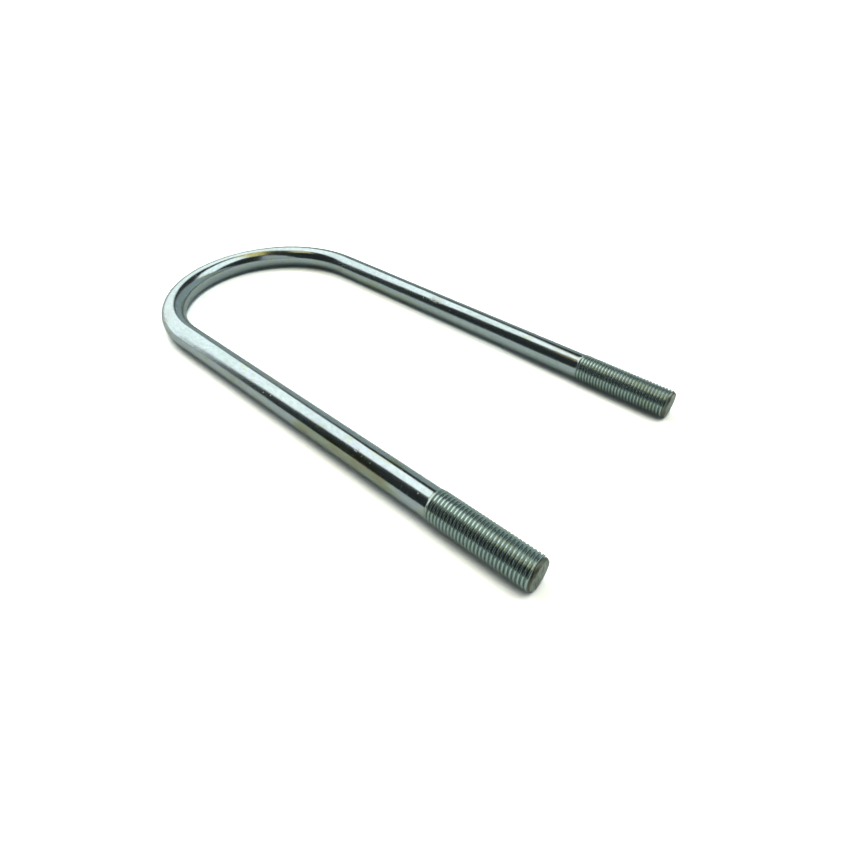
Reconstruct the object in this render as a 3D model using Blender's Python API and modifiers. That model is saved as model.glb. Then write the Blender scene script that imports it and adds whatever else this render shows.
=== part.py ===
# U-bolt: one round steel rod, bent to a half circle, with a rolled thread on each leg.
# It lies on its side: the U is flat in XY, the legs point along +X, and Z is up.
# The origin is under the middle of the bolt, at the lowest line of its threads.

import math

import bmesh
import bpy
from mathutils import Matrix, Vector

# Driving dimensions, in metres. The thread is 3/8-24 UNF.
PITCH = 0.0254 / 24
CREST_RADIUS = 0.00466
ROOT_RADIUS = 0.00412
SHANK_RADIUS = 0.00442
LEG_SPACING = 0.0788
LEG_LENGTH = 0.1500
THREAD_LENGTH = 0.03175
CHAMFER_LENGTH = 0.0011
TIP_RADIUS = 0.00405
RUN_OUT_LENGTH = 1.5 * PITCH

# How finely the round shapes are divided.
SIDES = 24
BEND_STEPS = 26

# How far the thread runs on past what is kept of it, how far a stud lies under the shank's
# surface where they meet, and how far a cutter stands clear of what it does not cut.
OVERLAP = 0.0020
SHOULDER_STEP = 0.0001
CLEARANCE = 0.0005

# Places that follow from the dimensions above.
BEND_RADIUS = LEG_SPACING / 2
BEND_CENTRE_X = (BEND_RADIUS + SHANK_RADIUS - LEG_LENGTH) / 2
TIP_X = BEND_CENTRE_X + LEG_LENGTH
SHANK_END_X = TIP_X - THREAD_LENGTH
AXIS_HEIGHT = CREST_RADIUS

# Zinc plating: base colour, metallic and roughness.
ZINC_COLOUR = (0.60, 0.66, 0.64, 1.0)
ZINC_METALLIC = 1.0
ZINC_ROUGHNESS = 0.28


def clear_scene():
    for thing in list(bpy.data.objects):
        bpy.data.objects.remove(thing, do_unlink=True)


def new_collection(name):
    group = bpy.data.collections.new(name)
    bpy.context.scene.collection.children.link(group)
    return group


def zinc_material():
    material = bpy.data.materials.new("zinc_plated_steel")
    material.use_nodes = True
    shader = material.node_tree.nodes["Principled BSDF"]
    shader.inputs["Base Color"].default_value = ZINC_COLOUR
    shader.inputs["Metallic"].default_value = ZINC_METALLIC
    shader.inputs["Roughness"].default_value = ZINC_ROUGHNESS
    material.diffuse_color = ZINC_COLOUR
    return material


def evaluated_mesh(thing):
    """The object's mesh with its modifiers carried out."""
    graph = bpy.context.evaluated_depsgraph_get()
    return bpy.data.meshes.new_from_object(thing.evaluated_get(graph))


def centreline():
    """The rod's axis between its two threads: a leg, the half circle and the other leg."""
    points = [Vector((SHANK_END_X, -BEND_RADIUS, AXIS_HEIGHT))]
    for step in range(BEND_STEPS + 1):
        turn = math.pi * step / BEND_STEPS
        x = BEND_CENTRE_X - BEND_RADIUS * math.sin(turn)
        y = -BEND_RADIUS * math.cos(turn)
        points.append(Vector((x, y, AXIS_HEIGHT)))
    points.append(Vector((SHANK_END_X, BEND_RADIUS, AXIS_HEIGHT)))
    return points


def shank_mesh():
    """The plain rod: a round tube of full section along the centreline, with closed ends."""
    points = centreline()
    curve = bpy.data.curves.new("shank_path", "CURVE")
    curve.dimensions = "3D"
    curve.bevel_depth = SHANK_RADIUS
    curve.bevel_resolution = (SIDES - 4) // 2
    curve.use_fill_caps = True
    spline = curve.splines.new("POLY")
    spline.points.add(len(points) - 1)
    for place, point in zip(spline.points, points):
        place.co = (point.x, point.y, point.z, 1.0)
    path = bpy.data.objects.new("shank_path", curve)
    bpy.context.scene.collection.objects.link(path)
    mesh = evaluated_mesh(path)
    bpy.data.objects.remove(path, do_unlink=True)
    bpy.data.curves.remove(curve)
    weld_and_face_outward(mesh)
    return mesh


def weld_and_face_outward(mesh):
    work = bmesh.new()
    work.from_mesh(mesh)
    bmesh.ops.remove_doubles(work, verts=work.verts, dist=0.000001)
    bmesh.ops.recalc_face_normals(work, faces=work.faces)
    work.to_mesh(mesh)
    work.free()


def line_mesh(name, points):
    """An open line of edges, for the Screw modifier to turn."""
    mesh = bpy.data.meshes.new(name)
    edges = [(i, i + 1) for i in range(len(points) - 1)]
    mesh.from_pydata(points, edges, [])
    return mesh


def screwed(name, points, rise, turns, group):
    """A profile in the XZ plane turned about the X axis, moving on by rise for each turn."""
    thing = bpy.data.objects.new(name, line_mesh(name, points))
    group.objects.link(thing)
    screw = thing.modifiers.new("Screw", "SCREW")
    screw.axis = "X"
    screw.angle = 2 * math.pi
    screw.screw_offset = rise
    screw.iterations = turns
    screw.steps = SIDES
    screw.render_steps = SIDES
    screw.use_merge_vertices = True
    screw.merge_threshold = 0.000001
    mesh = evaluated_mesh(thing)
    thing.modifiers.remove(screw)
    thing.data = mesh
    return thing


def close_ends(mesh):
    """Fills each open end with a fan of triangles from a point on the axis."""
    work = bmesh.new()
    work.from_mesh(mesh)
    bmesh.ops.remove_doubles(work, verts=work.verts, dist=0.000001)
    open_edges = [edge for edge in work.edges if edge.is_boundary]
    middle = sum(vert.co.x for vert in work.verts) / len(work.verts)
    for is_tip in (False, True):
        rim = [edge for edge in open_edges if (edge.verts[0].co.x > middle) == is_tip]
        reach = sum(edge.verts[0].co.x for edge in rim) / len(rim)
        hub = work.verts.new((reach, 0.0, 0.0))
        for edge in rim:
            work.faces.new((edge.verts[0], edge.verts[1], hub))
    bmesh.ops.recalc_face_normals(work, faces=work.faces)
    work.to_mesh(mesh)
    work.free()


def blend(x, start, end, first, last):
    """Goes in a straight line from first to last as x goes from start to end, and stays level outside."""
    share = min(max((x - start) / (end - start), 0.0), 1.0)
    return first + (last - first) * share


def fade_in(mesh):
    """Lets the thread grow out of the plain rod: the crests rise and the grooves deepen together."""
    full = SHANK_END_X + RUN_OUT_LENGTH
    plain = SHANK_RADIUS - SHOULDER_STEP
    for vert in mesh.vertices:
        radius = math.hypot(vert.co.y, vert.co.z)
        if radius < ROOT_RADIUS / 2:
            continue
        highest = blend(vert.co.x, SHANK_END_X, full, plain, CREST_RADIUS)
        lowest = blend(vert.co.x, SHANK_END_X, full, plain, ROOT_RADIUS)
        scale = min(max(radius, lowest), highest) / radius
        vert.co.y *= scale
        vert.co.z *= scale


def thread_helix(group):
    """A right-hand V thread, longer at both ends than the stud that is cut from it."""
    turns = math.ceil((THREAD_LENGTH + 2 * OVERLAP) / PITCH) + 1
    start = SHANK_END_X - OVERLAP - PITCH
    profile = [
        (start, 0.0, ROOT_RADIUS),
        (start + PITCH / 2, 0.0, CREST_RADIUS),
        (start + PITCH, 0.0, ROOT_RADIUS),
    ]
    helix = screwed("thread_helix", profile, PITCH, turns, group)
    close_ends(helix.data)
    fade_in(helix.data)
    return helix


def stud_envelope(group):
    """The turned outline that the thread is cut to, with a flat start and a chamfered flat tip."""
    start = SHANK_END_X - OVERLAP / 2
    wide = CREST_RADIUS + CLEARANCE
    slope = (CREST_RADIUS - TIP_RADIUS) / CHAMFER_LENGTH
    profile = [
        (start, 0.0, 0.0),
        (start, 0.0, wide),
        (TIP_X - CHAMFER_LENGTH - CLEARANCE / slope, 0.0, wide),
        (TIP_X, 0.0, TIP_RADIUS),
        (TIP_X, 0.0, 0.0),
    ]
    envelope = screwed("stud_envelope", profile, 0.0, 1, group)
    weld_and_face_outward(envelope.data)
    return envelope


def add_boolean(thing, operation, other):
    boolean = thing.modifiers.new(operation.title(), "BOOLEAN")
    boolean.operation = operation
    boolean.object = other
    return boolean


def threaded_stud(name, y, group):
    """One threaded leg end, on the leg at the given Y."""
    helix = thread_helix(group)
    add_boolean(helix, "INTERSECT", stud_envelope(group))
    bpy.context.view_layer.update()
    stud = bpy.data.objects.new(name, evaluated_mesh(helix))
    stud.data.transform(Matrix.Translation((0.0, y, AXIS_HEIGHT)))
    group.objects.link(stud)
    return stud


def hide_guides(group):
    for thing in group.objects:
        thing.hide_render = True
        thing.display_type = "WIRE"


def smooth_shading(mesh):
    mesh.shade_smooth()
    mesh.set_sharp_from_angle(angle=math.radians(30))


def build():
    clear_scene()
    parts = new_collection("u_bolt_parts")
    guides = new_collection("cutters")
    near_stud = threaded_stud("near_stud", -BEND_RADIUS, guides)
    far_stud = threaded_stud("far_stud", BEND_RADIUS, guides)
    bolt = bpy.data.objects.new("u_bolt", shank_mesh())
    parts.objects.link(bolt)
    add_boolean(bolt, "UNION", near_stud)
    add_boolean(bolt, "UNION", far_stud)
    bolt.data.materials.append(zinc_material())
    smooth_shading(bolt.data)
    hide_guides(guides)


build()
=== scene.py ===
# A zinc-plated U-bolt: one round rod bent into a U, with a fine thread rolled on each end.
# It lies flat with its legs along X. Lengths are in metres.
import math

import bpy
import numpy as np
from mathutils import Matrix, Vector


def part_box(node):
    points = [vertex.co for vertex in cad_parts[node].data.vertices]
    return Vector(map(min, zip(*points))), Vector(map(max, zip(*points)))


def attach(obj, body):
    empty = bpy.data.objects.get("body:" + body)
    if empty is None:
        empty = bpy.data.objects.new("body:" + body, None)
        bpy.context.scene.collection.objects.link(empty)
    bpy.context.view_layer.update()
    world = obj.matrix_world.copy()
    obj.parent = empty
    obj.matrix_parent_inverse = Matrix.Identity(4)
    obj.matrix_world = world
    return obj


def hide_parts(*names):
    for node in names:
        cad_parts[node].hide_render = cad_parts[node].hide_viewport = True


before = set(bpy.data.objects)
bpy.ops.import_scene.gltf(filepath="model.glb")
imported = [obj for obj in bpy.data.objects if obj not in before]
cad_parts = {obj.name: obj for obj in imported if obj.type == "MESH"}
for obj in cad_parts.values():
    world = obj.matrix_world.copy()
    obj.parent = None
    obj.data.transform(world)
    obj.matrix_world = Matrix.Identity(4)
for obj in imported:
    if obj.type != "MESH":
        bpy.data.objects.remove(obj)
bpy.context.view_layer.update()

low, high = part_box("u_bolt")
print("frame loaded")

# ---- the rod's own numbers
rod = {
    "shankRadius": 0.00442,      # the plain rod
    "crestRadius": 0.00466,      # over the thread
    "rootRadius": 0.00412,       # bottom of the thread
    "pitch": 0.0254 / 24,        # 24 turns an inch
    "threadLength": 0.03175,
    "runOutTurns": 1.4,          # turns over which the thread grows out of the plain rod
    "crestShare": 0.15,          # half the flat crest, as a share of the pitch
    "rootShare": 0.03,           # half the narrow root
    # rows from crest to root, as shares of the pitch
    "phases": [0, 0.07, 0.12, 0.15, 0.2, 0.29, 0.4, 0.465],
    "plainLift": 0.5,            # the height on the thread that plain metal counts as
    "chamferLength": 0.0011,
    "tipRadius": 0.00405,
    "edgeRound": 0.00006,        # how far the end face's edge is eased
    "edgeRoom": 1.2,             # the thread's first ring stands this many edge rounds behind the face
    "faceRings": [0.12, 0.3, 0.5, 0.7, 0.88, 0.96],      # rings on the end face, as shares of its radius
    "nearTurn": 0.08,            # where the thread starts round the near tip, in turns
    "farTurn": 0.0,
    "sides": 72,
    "plainStep": 0.0021,         # spacing of the rings on the plain rod
}

axisHeight = (low[2] + high[2]) / 2
tipX = high[0]
bendRadius = high[1] - rod["crestRadius"]
bendX = low[0] + rod["shankRadius"] + bendRadius
legLength = tipX - bendX
rodLength = 2 * legLength + math.pi * bendRadius


def centreline(distance):
    # Distance s along the rod from the near tip: in -X for a leg's length, round half a circle,
    # out again in +X. Gives the point on the axis and the level direction that points out of the U.
    turned = np.clip((distance - legLength) / bendRadius, 0, math.pi)
    run = np.minimum(distance, legLength)
    back = np.maximum(distance - legLength - math.pi * bendRadius, 0)
    level = np.full_like(distance, axisHeight)
    along = tipX - run + back - bendRadius * np.sin(turned)
    axis = np.stack([along, -bendRadius * np.cos(turned), level], -1)
    outward = np.stack([-np.sin(turned), -np.cos(turned), 0 * turned], -1)
    return axis, outward


def threadProfile(phase):
    # Height 0 at the root to 1 at the crest, for a phase in turns with the crest at 0:
    # a flat crest, a straight flank and a narrow root, with the corners eased by a share of smoothstep.
    away = np.abs((phase + 0.5) % 1.0 - 0.5)
    ramp = np.clip((0.5 - rod["rootShare"] - away) / (0.5 - rod["rootShare"] - rod["crestShare"]), 0, 1)
    return 0.75 * ramp + 0.25 * ramp * ramp * (3 - 2 * ramp)


def threadedEnd(startTurn):
    # Rings over one threaded end, one row a ring: distance from the tip, radius, and height on the thread.
    # Distance = pitch * (whole turns + phase + share of a turn round the rod), so each ring steps on to
    # the next phase as it goes round, and crest and root always lie on mesh edges.
    half = np.array(rod["phases"])
    phases = np.concatenate([half, [0.5], 1 - half[:0:-1]])
    perTurn, pitch = len(phases), rod["pitch"]
    turns = int(rod["threadLength"] / pitch) + 2
    around = np.arange(rod["sides"]) / rod["sides"]
    row = np.arange(-perTurn, turns * perTurn)[:, None] - np.round(perTurn * around)[None, :].astype(int)
    phase = phases[row % perTurn]
    distance = pitch * (row // perTurn + phase + around + startTurn)
    keep = distance.min(axis=1) > rod["edgeRoom"] * rod["edgeRound"]
    distance, phase = distance[keep], phase[keep]
    lift = threadProfile(phase)
    thread = rod["rootRadius"] + (rod["crestRadius"] - rod["rootRadius"]) * lift
    grown = np.clip((rod["threadLength"] - distance) / (rod["runOutTurns"] * pitch), 0, 1)
    grown = grown * grown * (3 - 2 * grown)
    radius = rod["shankRadius"] + (thread - rod["shankRadius"]) * grown
    chamfer = rod["tipRadius"] + (rod["crestRadius"] - rod["tipRadius"]) * distance / rod["chamferLength"]
    return distance, np.minimum(radius, chamfer), lift * grown + rod["plainLift"] * (1 - grown)


def tipRings():
    # The flat end face, from near its middle out to its eased edge.
    edge, tip = rod["edgeRound"], rod["tipRadius"]
    flat = np.array(rod["faceRings"]) * tip
    radius = np.append(flat, [tip - 1.1 * edge, tip - 0.35 * edge, tip])
    distance = np.append(np.zeros_like(flat), [0.0, 0.12 * edge, 0.5 * edge])
    wide = np.ones(rod["sides"])
    return distance[:, None] * wide, radius[:, None] * wide


def oneEnd(startTurn):
    # Face, chamfer and thread together: distance from the tip, radius, and height on the thread.
    faceDistance, faceRadius = tipRings()
    distance, radius, lift = threadedEnd(startTurn)
    faceLift = np.full_like(faceDistance, rod["plainLift"])
    return np.vstack([faceDistance, distance]), np.vstack([faceRadius, radius]), np.vstack([faceLift, lift])


def otherWay(grid):
    # The same end seen from the far tip: rows in reverse, and round the rod the other way,
    # which keeps the thread right-handed.
    return np.roll(grid[::-1, ::-1], 1, axis=1)


def rodGrid():
    near = oneEnd(rod["nearTurn"])
    far = [otherWay(part) for part in oneEnd(rod["farTurn"])]
    far[0] = rodLength - far[0]
    start, stop = near[0].max() + rod["plainStep"] / 2, far[0].min() - rod["plainStep"] / 2
    rings = np.linspace(start, stop, int((stop - start) / rod["plainStep"]))
    plain = rings[:, None] * np.ones(rod["sides"])
    distance = np.vstack([near[0], plain, far[0]])
    radius = np.vstack([near[1], np.full_like(plain, rod["shankRadius"]), far[1]])
    lift = np.vstack([near[2], np.full_like(plain, rod["plainLift"]), far[2]])
    return distance, radius, lift


def closedSkin(name, grid, firstPole, lastPole):
    # Joins a grid of rings into one skin of triangles, closed round each ring and by a fan at each pole.
    # Every quad is cut from (ring, side) to (next ring, next side), the way the crests climb.
    rings, sides = grid.shape[:2]
    index = np.arange(rings * sides).reshape(rings, sides) + 1
    a, b = index[:-1], np.roll(index, -1, axis=1)[:-1]
    c, d = np.roll(index, -1, axis=1)[1:], index[1:]
    walls = np.concatenate([np.stack([a, b, c], -1).reshape(-1, 3), np.stack([a, c, d], -1).reshape(-1, 3)])
    first, last = index[0], index[-1]
    final = rings * sides + 1
    fanIn = np.stack([np.roll(first, -1), first, np.zeros_like(first)], -1)
    fanOut = np.stack([last, np.roll(last, -1), np.full_like(last, final)], -1)
    points = np.vstack([firstPole[None, :], grid.reshape(-1, 3), lastPole[None, :]])
    mesh = bpy.data.meshes.new(name)
    mesh.from_pydata(points.tolist(), [], np.concatenate([walls, fanIn, fanOut]).tolist())
    mesh.polygons.foreach_set("use_smooth", np.ones(len(mesh.polygons), dtype=bool))
    mesh.update()
    return mesh


def rodMesh():
    # Point = axis(s) + radius * (cos(a) * outward + sin(a) * up), for distance s and angle a round the rod.
    distance, radius, lift = rodGrid()
    angle = 2 * math.pi * np.arange(rod["sides"]) / rod["sides"] * np.ones_like(distance)
    axis, outward = centreline(distance)
    up = np.array([0.0, 0.0, 1.0])
    points = axis + radius[..., None] * (np.cos(angle)[..., None] * outward + np.sin(angle)[..., None] * up)
    nearPole, farPole = centreline(np.array([0.0, rodLength]))[0]
    mesh = closedSkin("zincRod", points, nearPole, farPole)

    # the rod as if it were straight, so that marks follow the metal round the bend
    straight = np.stack([radius * np.cos(angle), radius * np.sin(angle), distance], -1).reshape(-1, 3)
    straight = np.vstack([[0, 0, 0], straight, [0, 0, rodLength]])
    mesh.attributes.new("straightRod", "FLOAT_VECTOR", "POINT").data.foreach_set("vector", straight.ravel())
    lift = np.concatenate([[rod["plainLift"]], lift.ravel(), [rod["plainLift"]]])
    mesh.attributes.new("threadLift", "FLOAT", "POINT").data.foreach_set("value", lift)
    return mesh


# ---- the plating
# A stain or a scuff is given as an angle in degrees from the outside of the U, a distance from the
# near tip, its reach round the rod and along it, and for a stain how thick the film is there.
zinc = {
    "teal": (0.55, 0.66, 0.65),
    # tint of the film, from thin to thick
    "film": [(0.0, (0.66, 0.75, 0.74)), (0.30, (0.64, 0.74, 0.76)), (0.45, (0.66, 0.72, 0.80)),
             (0.60, (0.62, 0.70, 0.56)), (0.78, (0.50, 0.53, 0.28)), (1.0, (0.42, 0.33, 0.16))],
    "stains": [(5, 0.062, 0.0052, 0.032, 1.0), (40, 0.374, 0.0042, 0.030, 0.75),
               (75, 0.138, 0.0030, 0.014, 0.35), (200, 0.300, 0.0040, 0.040, 0.70),
               (150, 0.100, 0.0036, 0.030, 0.55)],
    "scuffs": [(58, 0.1625, 0.0030, 0.0070), (63, 0.0576, 0.0010, 0.0011), (120, 0.330, 0.0020, 0.0050)],
    "threadTint": (0.93, 1.0, 0.95),     # over the whole thread
    "valley": (0.33, 0.40, 0.37),        # flanks and root of the thread: partly a darker film there, partly painted shade of the recess
    "cutEnd": (0.58, 0.65, 0.57),        # the sheared end faces
    "cutBrown": (0.18, 0.17, 0.12),      # where the cut tore
    "mottled": (0.40, 0.47, 0.46),
    "scuffed": (0.70, 0.68, 0.62),
    "scratched": (0.74, 0.78, 0.76),
    # distances behind the end face: where the cut's look has gone and where it is whole
    "cutReach": (0.0011, 0.0006),
    "tornRim": (0.00005, 0.0002),        # the torn edge begins and is full, likewise
    # noises on the straight rod: stretch, then scale, detail and roughness
    "drift": ((1, 1, 0.5), 95, 3, 0.55),
    "drawn": ((1, 1, 0.03), 2600, 4, 0.6),
    "grain": ((1, 1, 1), 4200, 3, 0.6),
    "mottle": ((1, 1, 0.45), 1150, 3, 0.6),
    "ripple": ((1, 1, 0.4), 150, 2, 0.5),
    "cloud": ((1, 1, 0.22), 310, 4, 0.6),
    "cloudShift": (0.4, 0, 0),
    "cutMarks": ((2.2, 0.3, 1), 850, 4, 0.65, 0.3),      # with distortion last
    # scratches: turned this way, at this scale
    "scratches": [((0.5, 0.3, 0.5), 950), ((-0.4, 0.7, -0.3), 1300)],
    "scratchEdge": (0.725, 0.76),        # a scratch begins and is full at these heights of its noise
    "fineBump": (0.35, 0.00004),         # strength and depth
    "broadBump": (0.25, 0.0002),
    "roughness": 0.15,
    "valleyRoughness": 0.22,
    "scuffRoughness": 0.42,
    "cutRoughness": 0.40,
}


class Nodes:
    # short hand for adding nodes and joining them
    def __init__(self, tree):
        self.tree = tree
        tree.nodes.clear()

    def add(self, kind, inputs=None, **settings):
        made = self.tree.nodes.new(kind)
        for key, value in settings.items():
            setattr(made, key, value)
        for key, value in (inputs or {}).items():
            socket = made.inputs[key]
            if isinstance(value, bpy.types.NodeSocket):
                self.tree.links.new(value, socket)
            else:
                socket.default_value = value
        return made

    def math(self, operation, first, second=0.0, third=0.0):
        inputs = {0: first, 1: second, 2: third}
        return self.add("ShaderNodeMath", inputs, operation=operation).outputs[0]

    def stretch(self, vector, scale, shift=(0, 0, 0)):
        return self.add("ShaderNodeMapping", {"Vector": vector, "Scale": scale, "Location": shift}).outputs[0]

    def noise(self, vector, scale, detail, roughness, distortion=0.0):
        inputs = {"Vector": vector, "Scale": scale, "Detail": detail}
        inputs.update({"Roughness": roughness, "Distortion": distortion})
        return self.add("ShaderNodeTexNoise", inputs).outputs[0]

    def texture(self, vector, name, shift=(0, 0, 0)):
        # one of the plating's noises, by its name
        stretch, *numbers = zinc[name]
        return self.noise(self.stretch(vector, stretch, shift), *numbers)

    def between(self, value, fromLow, fromHigh, toLow=0.0, toHigh=1.0):
        inputs = {0: value, 1: fromLow, 2: fromHigh, 3: toLow, 4: toHigh}
        return self.add("ShaderNodeMapRange", inputs, interpolation_type="SMOOTHSTEP").outputs[0]

    def blend(self, factor, first, second):
        return self.add("ShaderNodeMix", {0: factor, 2: first, 3: second}, data_type="FLOAT").outputs[0]

    def dot(self, first, second):
        made = self.add("ShaderNodeVectorMath", {0: first, 1: second}, operation="DOT_PRODUCT")
        return made.outputs["Value"]

    def patch(self, vector, centre, size):
        # 1 at the centre of an ellipsoid, falling to 0 at its skin
        offset = self.add("ShaderNodeVectorMath", {0: vector, 1: centre}, operation="SUBTRACT").outputs[0]
        scaled = self.add("ShaderNodeVectorMath", {0: offset, 1: size}, operation="DIVIDE").outputs[0]
        reach = self.add("ShaderNodeVectorMath", {0: scaled}, operation="LENGTH").outputs["Value"]
        return self.between(reach, 1.0, 0.45)

    def scratches(self, vector, turn, scale):
        turned = self.add("ShaderNodeMapping", {"Vector": vector, "Rotation": turn}).outputs[0]
        lines = self.noise(self.stretch(turned, (1, 0.06, 1)), scale, 2, 0.5)
        return self.between(lines, *zinc["scratchEdge"])

    def mix(self, factor, first, second, blend="MIX", share=1.0):
        if share != 1.0:
            factor = self.math("MULTIPLY", factor, share)
        made = self.add("ShaderNodeMix", {0: factor}, data_type="RGBA", blend_type=blend)
        for socket, value in ((made.inputs[6], first), (made.inputs[7], second)):
            if isinstance(value, bpy.types.NodeSocket):
                self.tree.links.new(value, socket)
            else:
                socket.default_value = (*value, 1)
        return made.outputs[2]


def ringPlace(degrees, along):
    turn = math.radians(degrees)
    return rod["shankRadius"] * math.cos(turn), rod["shankRadius"] * math.sin(turn), along


def filmColour(n, place, drift):
    # The clear film over the zinc: mostly pale blue, yellow to brown where it lies thick.
    cloud = n.texture(place, "cloud", zinc["cloudShift"])
    thick = n.between(cloud, 0.36, 0.74, 0.0, 0.72)
    for degrees, along, wide, long, depth in zinc["stains"]:
        stain = n.patch(place, ringPlace(degrees, along), (wide, wide, long))
        broken = n.between(cloud, 0.25, 0.6, 0.55, 1.0)
        stain = n.math("MULTIPLY", n.math("MULTIPLY", stain, broken), depth)
        thick = n.math("MAXIMUM", thick, stain)
    tint = n.add("ShaderNodeValToRGB", {0: thick})
    stops = tint.color_ramp.elements
    for number, (position, colour) in enumerate(zinc["film"]):
        stop = stops[number] if number < 2 else stops.new(position)
        stop.position = position
        stop.color = (*colour, 1)
    return n.mix(n.between(drift, 0.35, 0.68), tint.outputs[0], zinc["teal"], "MIX", 0.6)


def zincMaterial():
    material = bpy.data.materials.new("brightZinc")
    material.use_nodes = True
    n = Nodes(material.node_tree)
    place = n.add("ShaderNodeAttribute", attribute_name="straightRod").outputs["Vector"]
    lift = n.add("ShaderNodeAttribute", attribute_name="threadLift").outputs["Fac"]
    along = n.add("ShaderNodeSeparateXYZ", {0: place}).outputs["Z"]
    fromTip = n.math("MINIMUM", along, n.math("SUBTRACT", rodLength, along))
    threaded = n.between(fromTip, rod["threadLength"], rod["threadLength"] - rod["pitch"])
    cut = n.between(fromTip, *zinc["cutReach"])

    # slow drift, lines drawn lengthwise, fine grain, mottle, long ripples, and scratches two ways across
    names = ("drift", "drawn", "grain", "mottle", "ripple")
    drift, drawn, grain, mottle, ripple = (n.texture(place, name) for name in names)
    scratch = n.math("MAXIMUM", *(n.scratches(place, turn, scale) for turn, scale in zinc["scratches"]))

    colour = filmColour(n, place, drift)
    colour = n.mix(threaded, colour, zinc["threadTint"], "MULTIPLY")
    colour = n.mix(n.between(mottle, 0.30, 0.66, 0.32, 0.0), colour, zinc["mottled"])
    # Painted shade: the colour darkens from crest to root. It stands for the shade in the thread's recesses, laid
    # over a darker film there.
    valley = n.math("MULTIPLY", threaded, n.between(lift, 0.97, 0.55))
    valleyShade = n.math("MULTIPLY", valley, n.between(mottle, 0.3, 0.7, 0.55, 0.85))
    colour = n.mix(valleyShade, colour, zinc["valley"])

    scuff = None
    for degrees, distance, wide, long in zinc["scuffs"]:
        spot = n.patch(place, ringPlace(degrees, distance), (wide, wide, long))
        scuff = spot if scuff is None else n.math("MAXIMUM", scuff, spot)
    scuff = n.math("MULTIPLY", scuff, n.between(mottle, 0.42, 0.58))
    colour = n.mix(n.math("MULTIPLY", scuff, 0.5), colour, zinc["scuffed"])
    colour = n.mix(n.math("MULTIPLY", scratch, 0.35), colour, zinc["scratched"])

    # end faces: cut marks side by side across the face, brown where the cut tore
    cutMarks = n.texture(place, "cutMarks")
    tornFace = n.between(cutMarks, 0.42, 0.62, 0.0, 0.9)
    torn = n.math("MAXIMUM", tornFace, n.between(fromTip, *zinc["tornRim"], 0.0, 0.85))
    cutColour = n.mix(torn, zinc["cutEnd"], zinc["cutBrown"])
    colour = n.mix(cut, colour, cutColour)

    rough = n.math("ADD", zinc["roughness"], n.between(drawn, 0.2, 0.8, -0.03, 0.05))
    rough = n.math("ADD", rough, n.between(drift, 0.2, 0.8, -0.02, 0.04))
    rough = n.blend(valley, rough, zinc["valleyRoughness"])
    worn = n.math("MAXIMUM", scuff, n.math("MULTIPLY", scratch, 0.6))
    rough = n.blend(worn, rough, zinc["scuffRoughness"])
    rough = n.blend(cut, rough, zinc["cutRoughness"])

    height = n.math("MULTIPLY_ADD", drawn, 0.6, n.math("MULTIPLY", grain, 0.4))
    height = n.math("SUBTRACT", height, n.math("MULTIPLY", scratch, 0.5))
    height = n.math("ADD", height, n.math("MULTIPLY", n.math("MULTIPLY", cut, cutMarks), 2.5))
    height = n.math("ADD", height, n.math("MULTIPLY", n.math("MULTIPLY", scuff, grain), 2.0))
    strength, depth = zinc["fineBump"]
    fine = n.add("ShaderNodeBump", {"Strength": strength, "Distance": depth, "Height": height}).outputs[0]
    strength, depth = zinc["broadBump"]
    inputs = {"Strength": strength, "Distance": depth, "Height": ripple, "Normal": fine}
    broad = n.add("ShaderNodeBump", inputs).outputs[0]

    inputs = {"Base Color": colour, "Metallic": 1.0, "Roughness": rough, "Normal": broad}
    shader = n.add("ShaderNodeBsdfPrincipled", inputs)
    n.add("ShaderNodeOutputMaterial", {"Surface": shader.outputs[0]})
    return material


# ---- the room
# Each light is a panel far away: the part of the sky on the inner side of all its edges.
# An edge (a, b, c) keeps the directions where a * x + b * y + c * z is above 0.
room = {
    "dark": (0.021, 0.025, 0.025),       # the unlit side of the room
    "softness": 0.05,                    # how slowly a panel fades at its edges
    "panels": {
        "wallLight": {
            "colour": (1.36, 1.41, 1.39),
            "edges": [(-0.63, 1, 0), (-0.36, -1, 0.45), (-1, -0.49, -0.19)],
        },
        "wallReturn": {
            "colour": (1.25, 1.32, 1.30),
            "edges": [(-0.81, 1, -0.24), (-1, -0.73, -0.33), (-0.36, -1, 0.45)],
        },
        "ceilingLight": {
            "colour": (1.24, 1.34, 1.33),
            "edges": [(0.45, 1, -0.22), (1, -0.15, 0.17), (1, -0.71, 0.73), (-1, 0.74, 0.48)],
        },
        "warmTrim": {
            "colour": (0.85, 0.68, 0.22),
            "edges": [(0.56, 1, -0.03), (-0.38, -1, 0.25), (1, 0.07, 0.34), (-1, 0.08, 0.55)],
        },
        "warmLamp": {
            "colour": (0.80, 0.66, 0.34),
            "edges": [(-0.02, -1, -0.24), (-0.2, 1, 0.55), (1, 0.06, 0.35), (-1, -0.2, -0.06)],
        },
        "frontFill": {
            "colour": (0.42, 0.45, 0.45),
            "edges": [(-0.45, -1, 0), (1, 0.35, -0.55)],
        },
        "backWall": {
            "colour": (0.29, 0.345, 0.345),
            "edges": [(-0.02, 0.68, -1)],
        },
    },
    "floorColour": (0.88, 0.94, 0.95),
    "floorPrint": 3.2,                   # the floor's own brightness to the camera: over 1, so it bleaches to white
    # blue share of the colour of the painted shadow on the floor
    "paintedShadowBlue": 1.02,
    "contactReach": (0.0022, 0.0182),    # how far the painted shadow under the rod spreads: least and most
    "contactWay": (1, -1.5, 0),          # it spreads further this way, from the bend to the near tip
    "contactFrom": (-0.02, 0.155),       # and has its least and most at these distances that way
    "contactOpen": (0.30, 0.68),         # how open to the sky the ground is where the painted shadow is darkest and where clear
    "contactShade": 0.21,                # share of floorPrint left where the painted shadow is darkest
    "contactRays": 16,
    "floorSize": 60.0,
    "backdrop": 1.0,
}


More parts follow.
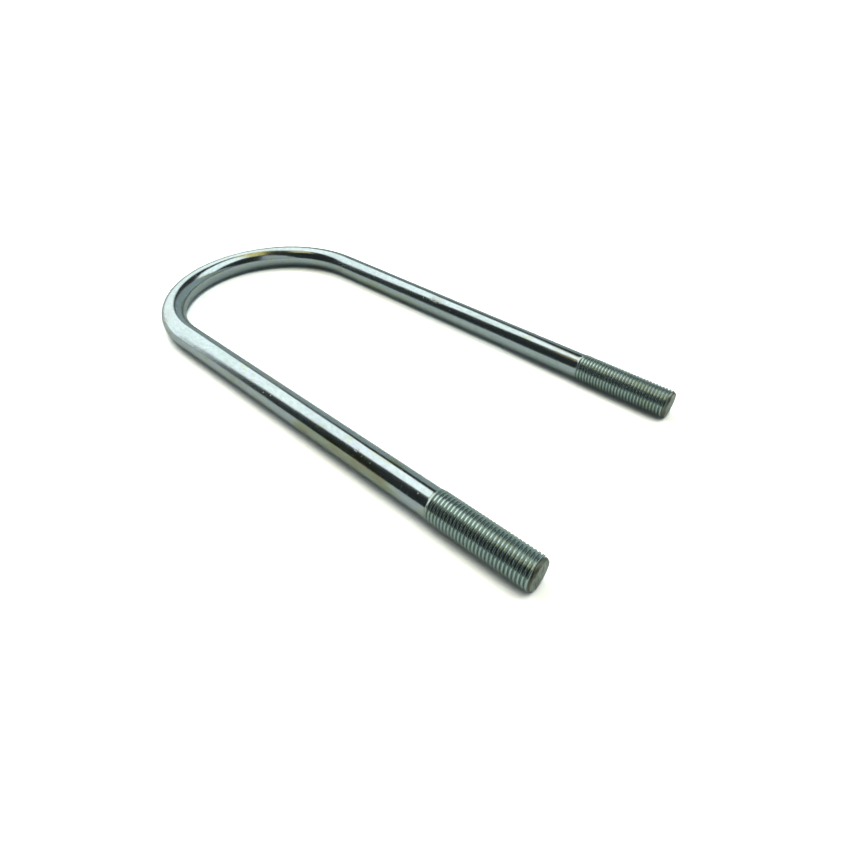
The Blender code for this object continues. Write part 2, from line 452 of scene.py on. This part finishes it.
def buildFloor():
    side = room["floorSize"] / 2
    mesh = bpy.data.meshes.new("floor")
    corners = [(-side, -side, 0), (side, -side, 0), (side, side, 0), (-side, side, 0)]
    mesh.from_pydata(corners, [], [(0, 1, 2, 3)])
    floor = bpy.data.objects.new("floor", mesh)
    bpy.context.scene.collection.objects.link(floor)
    material = bpy.data.materials.new("palePaper")
    material.use_nodes = True
    n = Nodes(material.node_tree)
    paper = room["floorColour"]
    seen = n.add("ShaderNodeLightPath").outputs["Is Camera Ray"]
    lit = n.add("ShaderNodeBsdfDiffuse", {"Color": (*paper, 1)}).outputs[0]
    place = n.add("ShaderNodeTexCoord").outputs["Object"]
    # Painted shadow: to the camera the floor's colour is darkened by ambient occlusion near the rod. This is a
    # painted contact shadow, not shade from the lamps, and other rays see the plain lit paper.
    along = n.dot(place, room["contactWay"])
    ends = dict(enumerate([along, *room["contactFrom"], *room["contactReach"]]))
    reach = n.add("ShaderNodeMapRange", ends).outputs[0]
    openness = n.add("ShaderNodeAmbientOcclusion", {"Distance": reach}, samples=room["contactRays"]).outputs["AO"]
    darkest = room["contactShade"] * room["floorPrint"]
    shade = n.between(openness, *room["contactOpen"], darkest, room["floorPrint"])
    blue = n.math("MULTIPLY", shade, room["paintedShadowBlue"])
    grey = n.add("ShaderNodeCombineColor", {0: shade, 1: shade, 2: blue}).outputs[0]
    paintedShadowFloor = n.add("ShaderNodeBsdfDiffuse", {"Color": grey}).outputs[0]
    both = n.add("ShaderNodeMixShader", {0: seen, 1: lit, 2: paintedShadowFloor}).outputs[0]
    n.add("ShaderNodeOutputMaterial", {"Surface": both})
    mesh.materials.append(material)


def buildLight():
    world = bpy.data.worlds.new("studio")
    world.use_nodes = True
    bpy.context.scene.world = world
    n = Nodes(world.node_tree)
    way = n.add("ShaderNodeTexCoord").outputs["Generated"]
    sky = room["dark"]
    for panel in room["panels"].values():
        inside = None
        for edge in panel["edges"]:
            size = math.sqrt(sum(part * part for part in edge))
            normal = [part / size for part in edge]
            within = n.between(n.dot(way, normal), -room["softness"] / 2, room["softness"] / 2)
            inside = within if inside is None else n.math("MULTIPLY", inside, within)
        sky = n.mix(inside, sky, panel["colour"])
    seen = n.add("ShaderNodeLightPath").outputs["Is Camera Ray"]
    lit = n.add("ShaderNodeBackground", {"Color": sky, "Strength": 1.0}).outputs[0]
    plain = n.add("ShaderNodeBackground", {"Color": (1, 1, 1, 1), "Strength": room["backdrop"]}).outputs[0]
    both = n.add("ShaderNodeMixShader", {0: seen, 1: lit, 2: plain}).outputs[0]
    n.add("ShaderNodeOutputWorld", {"Surface": both})


# ---- the camera
camera = {
    "azimuth": 40.388,
    "elevation": 36.469,
    "roll": 0.384,
    "distance": 0.18887,
    "aim": (0.07765, 0.00472, 0.0),     # from the middle of the bend
    "lens": 23.137,
    "sensor": 36,
    "nearest": 0.001,
    "shift": -0.0705,
}


def buildCamera():
    azimuth, elevation, roll = (math.radians(camera[key]) for key in ("azimuth", "elevation", "roll"))
    toCamera = Vector((
        math.sin(azimuth) * math.cos(elevation),
        -math.cos(azimuth) * math.cos(elevation),
        math.sin(elevation),
    ))
    level = Vector((math.cos(azimuth), math.sin(azimuth), 0))
    upward = toCamera.cross(level)
    across = math.cos(roll) * level + math.sin(roll) * upward
    upright = math.cos(roll) * upward - math.sin(roll) * level
    aim = Vector((bendX, 0, axisHeight)) + Vector(camera["aim"])
    data = bpy.data.cameras.new("camera")
    data.lens = camera["lens"]
    data.sensor_width = camera["sensor"]
    data.shift_y = camera["shift"]
    data.clip_start = camera["nearest"]
    body = bpy.data.objects.new("camera", data)
    facing = Matrix((across, upright, toCamera)).transposed().to_quaternion()
    body.matrix_world = Matrix.LocRotScale(aim + toCamera * camera["distance"], facing, None)
    bpy.context.scene.collection.objects.link(body)
    bpy.context.scene.camera = body


def buildRod():
    piece = bpy.data.objects.new("zincRod", rodMesh())
    bpy.context.scene.collection.objects.link(piece)
    piece.data.materials.append(zincMaterial())
    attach(piece, "root")
    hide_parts("u_bolt")
    print("rod:", len(piece.data.polygons), "triangles")


buildCamera()
print("camera placed")
buildRod()
buildFloor()
buildLight()
print("room lit")
bpy.context.scene.view_settings.view_transform = "Standard"
